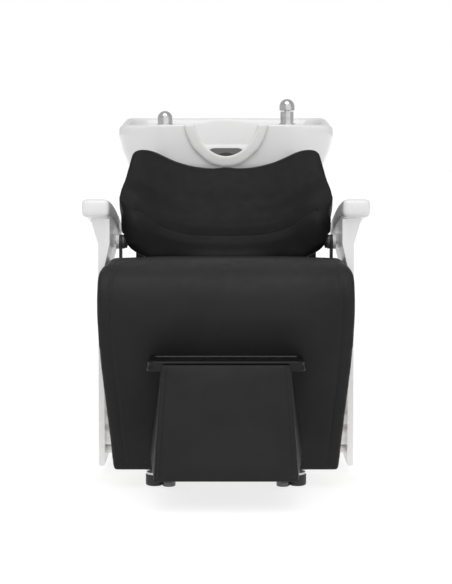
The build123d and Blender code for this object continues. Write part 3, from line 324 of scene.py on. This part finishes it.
def settle(obj):
    """Turns obj's modifiers into its mesh."""
    depsgraph = bpy.context.evaluated_depsgraph_get()
    mesh = bpy.data.meshes.new_from_object(obj.evaluated_get(depsgraph))
    obj.modifiers.clear()
    old = obj.data
    obj.data = mesh
    bpy.data.meshes.remove(old)


def smooth_shaded(mesh):
    mesh.polygons.foreach_set("use_smooth", np.ones(len(mesh.polygons), bool))
    mesh.update()


def points_of(mesh):
    co = np.empty(len(mesh.vertices) * 3)
    mesh.vertices.foreach_get("co", co)
    return co.reshape(-1, 3)


def normals_of(mesh):
    no = np.empty(len(mesh.vertices) * 3)
    mesh.vertex_normals.foreach_get("vector", no)
    return no.reshape(-1, 3)


def put_points(mesh, co):
    mesh.vertices.foreach_set("co", co.ravel())
    mesh.update()


WELD_DISTANCE = 1e-5


def remade(node, name, slot, voxel, rounds, factor=0.5, lobes=()):
    """A closed, evenly meshed and softened copy of a CAD node, which it replaces. Each of the
    lobes is a list of corner points, whose convex hull is merged into it."""
    mesh = NODES[node].data.copy()
    if lobes:
        shape = bmesh.new()
        shape.from_mesh(mesh)
        for corners in lobes:
            hull = bmesh.new()
            bmesh.ops.convex_hull(hull, input=[hull.verts.new(c) for c in corners])
            extra = bpy.data.meshes.new("Lobe")
            hull.to_mesh(extra)
            hull.free()
            shape.from_mesh(extra)
            bpy.data.meshes.remove(extra)
        shape.to_mesh(mesh)
        shape.free()
    obj = add_object(name, mesh, slot, NODES[node]["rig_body"])
    weld = obj.modifiers.new("Weld", "WELD")
    weld.merge_threshold = WELD_DISTANCE
    remesh = obj.modifiers.new("Remesh", "REMESH")
    remesh.mode = "VOXEL"
    remesh.voxel_size = voxel
    if rounds:
        soften = obj.modifiers.new("Soften", "SMOOTH")
        soften.factor = factor
        soften.iterations = rounds
    settle(obj)
    smooth_shaded(obj.data)
    obj.data.materials.clear()
    obj.data.materials.append(LOOKS[slot])
    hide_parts(node)
    return obj


def grow(obj, amount):
    """Moves obj's surface outwards, to give back what smoothing took."""
    put_points(obj.data, points_of(obj.data) + normals_of(obj.data) * amount)


def ease_region(obj, weights, rounds):
    """Smooths obj where the weights are over 0."""
    group = obj.vertex_groups.new(name="region")
    for index in np.nonzero(weights > 0.01)[0]:
        group.add([int(index)], float(weights[index]), "REPLACE")
    soften = obj.modifiers.new("Region", "SMOOTH")
    soften.factor = 0.5
    soften.iterations = rounds
    soften.vertex_group = "region"
    settle(obj)
    obj.vertex_groups.clear()
    smooth_shaded(obj.data)


def puffed(node, name, voxel, shrink, cap, held, rounds=6, pressure=4.0, frames=20, ease=10,
           lobes=()):
    """The CAD cushion blown up as cloth over its foam. held(points, normals) says which of its
    points stay where they rest on a board, and cap is the furthest that the others move."""
    obj = remade(node, name, "black_leather", voxel, rounds, lobes=lobes)
    mesh = obj.data
    start, normals = points_of(mesh), normals_of(mesh)
    still = held(start, normals)
    start = start - normals * shrink
    put_points(mesh, start)
    group = obj.vertex_groups.new(name="held")
    for index in np.nonzero(still)[0]:
        group.add([int(index)], 1.0, "REPLACE")
    cloth = obj.modifiers.new("Cloth", "CLOTH")
    cloth.settings.quality = 4
    cloth.settings.mass = 0.35
    cloth.settings.tension_stiffness = cloth.settings.compression_stiffness = 14.0
    cloth.settings.bending_stiffness = 1.2
    cloth.settings.vertex_group_mass = "held"
    cloth.settings.use_pressure = True
    cloth.settings.uniform_pressure_force = pressure
    cloth.settings.effector_weights.gravity = 0.0
    cloth.point_cache.frame_start = 1
    cloth.point_cache.frame_end = frames
    for step in range(1, frames + 1):
        SCENE.frame_set(step)
    settle(obj)
    SCENE.frame_set(1)
    obj.vertex_groups.clear()
    moved = points_of(obj.data) - start
    length = np.linalg.norm(moved, axis=1)
    moved *= np.minimum(1.0, cap / np.maximum(length, 1e-9))[:, None]
    put_points(obj.data, start + moved)
    free = obj.vertex_groups.new(name="free")
    for index, weight in enumerate(1.0 - still):
        if weight > 0:
            free.add([index], float(weight), "REPLACE")
    calm = obj.modifiers.new("Calm", "SMOOTH")
    calm.factor = 0.5
    calm.iterations = ease
    calm.vertex_group = "free"
    whole = obj.modifiers.new("Whole", "SMOOTH")
    whole.factor = 0.5
    whole.iterations = 2
    split = obj.modifiers.new("Subdivide", "SUBSURF")
    split.levels = split.render_levels = 1
    settle(obj)
    obj.vertex_groups.clear()
    smooth_shaded(obj.data)
    return obj


def dress(node, bevel, segments=2, angle=32):
    """Gives a CAD node its material and breaks its sharp edges, with its mesh left as it is."""
    obj = NODES[node]
    slot = obj.data.materials[0].name.split(".")[0]
    obj.data.materials.clear()
    obj.data.materials.append(LOOKS[PAINTED.get(node, slot)])
    weld = obj.modifiers.new("Weld", "WELD")
    weld.merge_threshold = WELD_DISTANCE
    soft = obj.modifiers.new("Bevel", "BEVEL")
    soft.limit_method = "ANGLE"
    soft.angle_limit = math.radians(angle)
    soft.width = bevel
    soft.segments = segments
    soft.use_clamp_overlap = True
    even = obj.modifiers.new("Normals", "WEIGHTED_NORMAL")
    even.weight = 60
    smooth_shaded(obj.data)
    return obj


# ---------------------------------------------------------------- seams and stitching

def spaced_out(points, step):
    """The polyline through points, cut again at even steps."""
    points = np.asarray(points, float)
    lengths = np.r_[0.0, np.cumsum(np.linalg.norm(np.diff(points, axis=0), axis=1))]
    count = max(2, int(round(lengths[-1] / step)) + 1)
    at = np.linspace(0.0, lengths[-1], count)
    return np.stack([np.interp(at, lengths, points[:, k]) for k in range(3)], axis=1)


def on_surface(tree, points):
    """Points moved to the nearest place on a surface, and the normals there."""
    found = [tree.find_nearest(Vector(p)) for p in points]
    return (np.array([list(f[0]) for f in found]), np.array([list(f[1]) for f in found]))


def press_in(obj, path, depth, width):
    """Presses a groove of that depth and half-width into obj along the path, or a ridge."""
    line = spaced_out(path, 0.003)
    near = KDTree(len(line))
    for i, p in enumerate(line):
        near.insert(Vector(p), i)
    near.balance()
    mesh = obj.data
    co, no = points_of(mesh), normals_of(mesh)
    lo, hi = line.min(0) - width, line.max(0) + width
    for i in np.nonzero(((co > lo) & (co < hi)).all(1))[0]:
        distance = near.find(Vector(co[i]))[2]
        if distance < width:
            co[i] -= no[i] * depth * (0.5 + 0.5 * math.cos(math.pi * distance / width))
    put_points(mesh, co)


STITCH_SIDES = 6


def stitch_rows(name, obj, paths, offsets, length=0.0046, gap=0.0022, radius=0.00055):
    """Rows of stitches on obj beside each path, as one mesh of short rounded thread loops."""
    tree = BVHTree.FromPolygons([v.co for v in obj.data.vertices],
                                [tuple(p.vertices) for p in obj.data.polygons])
    profile = [(-0.5, 0.25), (-0.36, 0.85), (0.0, 1.0), (0.36, 0.85), (0.5, 0.25)]
    vertices, faces = [], []
    for path in paths:
        line = spaced_out(path, length + gap)
        along = np.gradient(line, axis=0)
        along /= np.linalg.norm(along, axis=1)[:, None]
        _, normals = on_surface(tree, line)
        across = np.cross(along, normals)
        across /= np.linalg.norm(across, axis=1)[:, None]
        for offset in offsets:
            seats, ups = on_surface(tree, line + across * offset)
            for seat, up, run in zip(seats, ups, along):
                side = np.cross(run, up)
                first = len(vertices)
                for position, swell in profile:
                    dip = -0.0007 * (2 * position) ** 2
                    centre = seat + run * (position * length) + up * (radius * 0.5 + dip)
                    for k in range(STITCH_SIDES):
                        turn = 2 * math.pi * k / STITCH_SIDES
                        vertices.append(centre + radius * swell
                                        * (side * math.cos(turn) + up * math.sin(turn)))
                for ring in range(len(profile) - 1):
                    a = first + ring * STITCH_SIDES
                    for k in range(STITCH_SIDES):
                        n = (k + 1) % STITCH_SIDES
                        faces.append((a + k, a + n, a + STITCH_SIDES + n, a + STITCH_SIDES + k))
                last = first + (len(profile) - 1) * STITCH_SIDES
                faces.append(tuple(first + k for k in reversed(range(STITCH_SIDES))))
                faces.append(tuple(last + k for k in range(STITCH_SIDES)))
    mesh = bpy.data.meshes.new(name)
    mesh.from_pydata([tuple(v) for v in vertices], [], faces)
    smooth_shaded(mesh)
    return add_object(name, mesh, "thread", obj["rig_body"])


# ---------------------------------------------------------------- upholstery

# Heights on the seat, and its half width there.
SEAT_LEVELS = (0.044, 0.161, 0.296, 0.400, 0.508)
SEAT_HALF_WIDTHS = (0.253, 0.264, 0.278, 0.284, 0.284)
# The seat's front roll is an arc about this point of its side view.
ROLL_Y, ROLL_Z, ROLL_RADIUS = -0.405, 0.413, 0.095
SEAM_INSET = 0.026
HEM_HALF_WIDTH, HEM_Y, HEM_Z = 0.243, -0.475, 0.056
# Distance between the points of a seam, and how far a row of stitches lies beside it.
SEAM_STEP = 0.006
STITCH_OFFSET = 0.0042


def seat():
    """The seat and its waterfall front: one padded cover with a gusset down each side."""
    def held(co, _):
        half = np.interp(co[:, 2], SEAT_LEVELS, SEAT_HALF_WIDTHS)
        gusset = np.abs(co[:, 0]) > half - 0.022
        on_boards = (co[:, 1] > -0.4535) & (co[:, 2] < 0.4235)
        hemmed = (co[:, 2] < 0.052) | (co[:, 1] > -0.135)
        return (gusset | on_boards | hemmed).astype(float)

    cushion = puffed("seat_cushion", "SeatCushion", 0.005, -0.0018, 0.007, held, rounds=4, ease=16)
    tree = BVHTree.FromPolygons([v.co for v in cushion.data.vertices],
                                [tuple(p.vertices) for p in cushion.data.polygons])
    front = [(-0.462, 0.062, 0.254), (-0.478, 0.161, 0.264), (-0.490, 0.296, 0.278),
               (-0.500, 0.413, 0.284)]
    roll = [(ROLL_Y - ROLL_RADIUS * math.cos(t), ROLL_Z + ROLL_RADIUS * math.sin(t),
             0.284 - 0.012 * max(0.0, math.sin(t) - 0.5) / 0.5)
            for t in np.linspace(0.1, math.pi / 2, 10)]
    top = [(-0.30, 0.506, 0.262), (-0.135, 0.501, 0.258)]
    seams = []
    for side in (-1, 1):
        rough = [(side * (half - SEAM_INSET), y, z) for y, z, half in front + roll + top]
        seams.append(on_surface(tree, spaced_out(rough, SEAM_STEP))[0])
    hem_ends = [(-HEM_HALF_WIDTH, HEM_Y, HEM_Z), (HEM_HALF_WIDTH, HEM_Y, HEM_Z)]
    hem = on_surface(tree, spaced_out(hem_ends, SEAM_STEP))[0]
    for seam in seams:
        press_in(cushion, seam, 0.0016, 0.007)
    press_in(cushion, hem, 0.0012, 0.006)
    stitch_rows("SeatStitching", cushion, seams, (-STITCH_OFFSET, STITCH_OFFSET))
    stitch_rows("SeatHemStitching", cushion, [hem], (0.0,))


# The backrest leans back by this sine and cosine from its foot, and its face is bowed sideways.
LEAN_SIN, LEAN_COS = 0.449, 0.893
BACK_FOOT_Y, BACK_FOOT_Z = -0.090, 0.500
BOW_RADIUS = 0.900


def backrest_point(x, z):
    """A point near the front face of the bucket backrest, at that place seen from the front."""
    lean = (z - BACK_FOOT_Z) / LEAN_COS
    bow = BOW_RADIUS - math.sqrt(BOW_RADIUS ** 2 - x ** 2)
    return (x, BACK_FOOT_Y + LEAN_SIN * lean - LEAN_COS * bow, z)


def mirrored(points):
    """Points given from the outside left to the middle, carried on to the right."""
    return points + [(-x, z) for x, z in reversed(points[:-1])]


def smooth_line(points, count=60):
    """A Catmull-Rom curve through the points (x, z)."""
    p = np.array([points[0]] + list(points) + [points[-1]], float)
    out = []
    for t in np.linspace(0, len(points) - 1.000001, count):
        i = int(t)
        u = t - i
        a, b, c, d = p[i], p[i + 1], p[i + 2], p[i + 3]
        out.append(0.5 * (2 * b + (c - a) * u + (2 * a - 5 * b + 4 * c - d) * u ** 2
                          + (3 * b - a - 3 * c + d) * u ** 3))
    return out


# The fold under the shoulders and the seam above the loins, as places (x, z) from the front.
UPPER_FOLD = mirrored([(-0.275, 0.700), (-0.249, 0.681), (-0.2086, 0.662), (-0.1615, 0.635),
                       (-0.115, 0.6165), (-0.06, 0.613), (0.0, 0.612)])
LOWER_SEAM = mirrored([(-0.275, 0.626), (-0.252, 0.613), (-0.207, 0.590), (-0.160, 0.565),
                       (-0.106, 0.5496), (-0.05, 0.546), (0.0, 0.545)])
# The corner flap in front of one recline bracket, which slopes up into the face, and the
# fullness at the foot of the cushion.
CORNER_LOBE = [(0.205, -0.098, 0.510), (0.236, -0.099, 0.524), (0.241, -0.099, 0.534),
               (0.241, -0.099, 0.576), (0.205, -0.095, 0.576),
               (0.215, -0.107, 0.514), (0.236, -0.1075, 0.523), (0.249, -0.1075, 0.540),
               (0.2504, -0.1075, 0.553), (0.2504, -0.1075, 0.564), (0.230, -0.107, 0.580),
               (0.225, -0.115, 0.530), (0.240, -0.116, 0.534), (0.248, -0.115, 0.545),
               (0.249, -0.113, 0.556), (0.244, -0.111, 0.566),
               (0.236, -0.043, 0.655), (0.200, -0.042, 0.640), (0.150, -0.066, 0.575),
               (0.160, -0.092, 0.525), (0.165, -0.0995, 0.512)]
LOWER_LOBE = [(x * side, y + dy, z) for side in (-1, 1) for dy in (0.0, 0.045)
              for x, y, z in ((0.205, -0.105, 0.506), (0.192, -0.104, 0.494),
                              (0.150, -0.098, 0.492))]


def eased(value):
    """0 below 0, 1 above 1 and a smooth step between."""
    t = np.clip(value, 0.0, 1.0)
    return t * t * (3 - 2 * t)


FOLD_BULGE = 0.016


def backrest():
    """The bucket backrest: a padded cover that bulges between its fold and its lower seam."""
    back_way = np.array([0.0, LEAN_COS, -LEAN_SIN])

    def held(_, no):
        return (no @ -back_way < 0.80).astype(float)

    lobes = [CORNER_LOBE, [(-x, y, z) for x, y, z in CORNER_LOBE], LOWER_LOBE]
    cushion = puffed("backrest_cushion", "BackrestCushion", 0.005, -0.0015, 0.006, held, rounds=5,
                     ease=45, lobes=lobes)
    # The backrest takes the darker copy of the leather, which paints shade onto it.
    cushion.data.materials.clear()
    cushion.data.materials.append(LOOKS["back_leather"])
    co, no = points_of(cushion.data), normals_of(cushion.data)
    folds = np.array(smooth_line(UPPER_FOLD, 200))
    seams = np.array(smooth_line(LOWER_SEAM, 200))
    fold_z = np.interp(co[:, 0], folds[:, 0], folds[:, 1])
    seam_z = np.interp(co[:, 0], seams[:, 0], seams[:, 1])
    bulge = eased((fold_z + 0.030 - co[:, 2]) / 0.060)
    bulge *= 1.0 - 0.95 * eased((seam_z - co[:, 2] + 0.010) / 0.070)
    bulge *= 0.55 + 0.45 * eased(np.abs(co[:, 0]) / 0.20)
    front = eased((no @ -back_way - 0.15) / 0.6)
    co -= back_way * (FOLD_BULGE * bulge * front)[:, None]
    put_points(cushion.data, co)
    flat = eased((no @ -back_way - 0.25) / 0.35) * eased((0.640 - co[:, 2]) / 0.030)
    outer = eased((np.abs(co[:, 0]) - 0.130) / 0.050)
    low = eased((0.545 - co[:, 2]) / 0.020)
    ease_region(cushion, flat * np.maximum(outer, low), 160)
    tree = BVHTree.FromPolygons([v.co for v in cushion.data.vertices],
                                [tuple(p.vertices) for p in cushion.data.polygons])
    rough = [backrest_point(x, z) for x, z in smooth_line(LOWER_SEAM, 90)]
    seam = on_surface(tree, rough)[0]
    press_in(cushion, seam, 0.0030, 0.026)
    press_in(cushion, seam, 0.0014, 0.007)
    stitch_rows("BackrestStitching", cushion, [seam[2:-2]], (-STITCH_OFFSET, STITCH_OFFSET))


# The head and the foot of the footrest's side seams: half width, Y and height.
PAD_SEAM_HEAD = (0.139 - 0.008, -0.607, 0.296)
PAD_SEAM_FOOT = (0.152 - 0.008, -0.688, 0.080)


def footrest_cushion():
    """The footrest's padded cover, with a seam down each side of its face."""
    def held(_, no):
        return (no[:, 1] > -0.80).astype(float)

    cushion = puffed("footrest_pad", "FootrestPad", 0.004, -0.0008, 0.003, held, rounds=3, ease=8)
    tree = BVHTree.FromPolygons([v.co for v in cushion.data.vertices],
                                [tuple(p.vertices) for p in cushion.data.polygons])
    seams = []
    for side in (-1, 1):
        rough = [(side * half, y, z) for half, y, z in (PAD_SEAM_HEAD, PAD_SEAM_FOOT)]
        seams.append(on_surface(tree, spaced_out(rough, SEAM_STEP))[0])
    for seam in seams:
        press_in(cushion, seam, 0.0012, 0.006)
    stitch_rows("FootrestStitching", cushion, seams, (0.0,))


# ---------------------------------------------------------------- ceramic, shells and fittings

# Heights in the neck notch, and how many times its CAD width the U has there.
NOTCH_LEVELS = (0.721, 0.731, 0.748, 0.768, 0.788, 0.810, 0.831)
NOTCH_WIDTHS = (1.20, 1.18, 1.13, 1.12, 1.065, 1.005, 0.944)


def round_notch(obj):
    """Widens the foot of the neck notch and draws in its top, for a rounder U."""
    co = points_of(obj.data)
    width = np.interp(co[:, 2], NOTCH_LEVELS, NOTCH_WIDTHS)
    near = 1.0 - eased((np.abs(co[:, 0]) - 0.105) / 0.045)
    front = 1.0 - eased((co[:, 1] - 0.190) / 0.060)
    co[:, 0] *= 1.0 + (width - 1.0) * near * front
    put_points(obj.data, co)


BASIN_HALF_WIDTH, BASIN_HALF_LENGTH, BASIN_MIDDLE_Y = 0.291, 0.27, 0.42


def basin():
    """The basin with its rim rounded over at the sides and the rear, and its neck rest."""
    bowl = remade("basin", "Basin", "white_ceramic", 0.0035, 10)
    co = points_of(bowl.data)
    rim_side = eased((np.abs(co[:, 0]) - 0.19) / 0.05) * eased((co[:, 2] - 0.795) / 0.025)
    rim_back = eased((co[:, 1] - 0.60) / 0.04) * eased((co[:, 2] - 0.83) / 0.02)
    reach = np.hypot(co[:, 0] / BASIN_HALF_WIDTH, (co[:, 1] - BASIN_MIDDLE_Y) / BASIN_HALF_LENGTH)
    outside = eased((reach - 0.93) / 0.03)
    ease_region(bowl, np.maximum(rim_side, rim_back) * outside, 45)
    round_notch(bowl)
    round_notch(remade("neck_rest", "NeckRest", "white_silicone", 0.0025, 10))


def rounded_ring(half_x, y_range, radius, z, steps=8):
    """Corner points of a rounded rectangle on one level, anticlockwise from above."""
    middle = (y_range[0] + y_range[1]) / 2
    half_y = (y_range[1] - y_range[0]) / 2
    ring = []
    for quarter, (sx, sy) in enumerate(((1, -1), (1, 1), (-1, 1), (-1, -1))):
        for k in range(steps + 1):
            turn = (quarter - 1) * math.pi / 2 + k * math.pi / 2 / steps
            ring.append((sx * (half_x - radius) + radius * math.cos(turn),
                         middle + sy * (half_y - radius) + radius * math.sin(turn), z))
    return ring


def stacked(name, rings, slot, body):
    """A closed skin through rings of equal length, the first and last of them capped."""
    count = len(rings[0])
    vertices = [p for ring in rings for p in ring]
    faces = [tuple(reversed(range(count)))]
    for level in range(len(rings) - 1):
        a = level * count
        for k in range(count):
            n = (k + 1) % count
            faces.append((a + k, a + n, a + count + n, a + count + k))
    last = (len(rings) - 1) * count
    faces.append(tuple(range(last, last + count)))
    mesh = bpy.data.meshes.new(name)
    mesh.from_pydata(vertices, [], faces)
    smooth_shaded(mesh)
    return add_object(name, mesh, slot, body)


# Half width, inset from the tray's front and rear, corner radius and height of each ring, in mm.
TRAY_RINGS = [(171.5, 1.5, 18, 287.0), (173.0, 0.3, 19, 288.0), (172.6, 0.3, 19, 291.0),
              (170.8, 0.6, 18, 299.0), (169.6, 1.2, 17, 302.5), (170.6, 0.4, 18, 304.5),
              (170.6, 0.4, 18, 306.8), (169.6, 1.2, 17, 308.4), (167.8, 2.8, 16, 309.0),
              (166.0, 4.6, 14, 308.4), (164.8, 5.8, 13, 306.6), (163.3, 7.3, 12, 305.0),
              (159.8, 10.8, 10, 304.4), (140.0, 30.0, 8, 304.2)]


def tray():
    """The footrest's tray: a flared skirt, a rounded rim and a shallow recess."""
    lo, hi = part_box("footrest_tray")
    rings = [rounded_ring(half * MM, (lo.y + inset * MM, hi.y - inset * MM), radius * MM, z * MM)
             for half, inset, radius, z in TRAY_RINGS]
    piece = stacked("FootrestTray", rings, "gloss_black", "footrest")
    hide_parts("footrest_tray")


ARMREST_SHRINKAGE = 0.0022


def armrests():
    """The armrests, rounded over all round."""
    for side in ("left", "right"):
        rest = remade("armrest_" + side, "Armrest" + side.capitalize(), "white_shell", 0.003, 50)
        grow(rest, ARMREST_SHRINKAGE)


# Width of the broken edges of a node, in mm.
BEVELS = {
    "armrest_left": 2.5, "armrest_right": 2.5, "side_panel_left": 1.8, "side_panel_right": 1.8,
    "backrest_shell": 2.0, "footrest_tray": 1.2, "pedestal_cover": 2.5, "rear_service_panel": 1.5,
    "pivot_caps": 0.8, "levelling_foot_pads": 0.8, "tilt_clamp_knob": 1.0, "seat_board": 0.8,
    "apron_board": 0.8, "footrest_core": 0.8, "hair_strainer": 0.2, "mixer_base": 0.5,
    "mixer_handle": 0.6, "hand_shower_body": 0.5, "hand_shower_face": 0.4, "shower_sleeve": 0.5,
}
DEFAULT_BEVEL = 0.7
# Nodes whose look is not the one of their slot. The side panels and the white-painted spacers take
# a lighter copy of the shells' white, which is painted light. The glide feet take a darker chrome,
# which is painted shade.
PAINTED = {"side_panel_left": "panel_white", "side_panel_right": "panel_white",
           "panel_spacers": "panel_white", "footrest_glide_feet": "dark_chrome"}

make_camera()
make_studio()
make_floor()
seat()
backrest()
footrest_cushion()
basin()
tray()
armrests()
for node_name in sorted(NODES):
    if not NODES[node_name].hide_render:
        dress(node_name, BEVELS.get(node_name, DEFAULT_BEVEL) * MM)
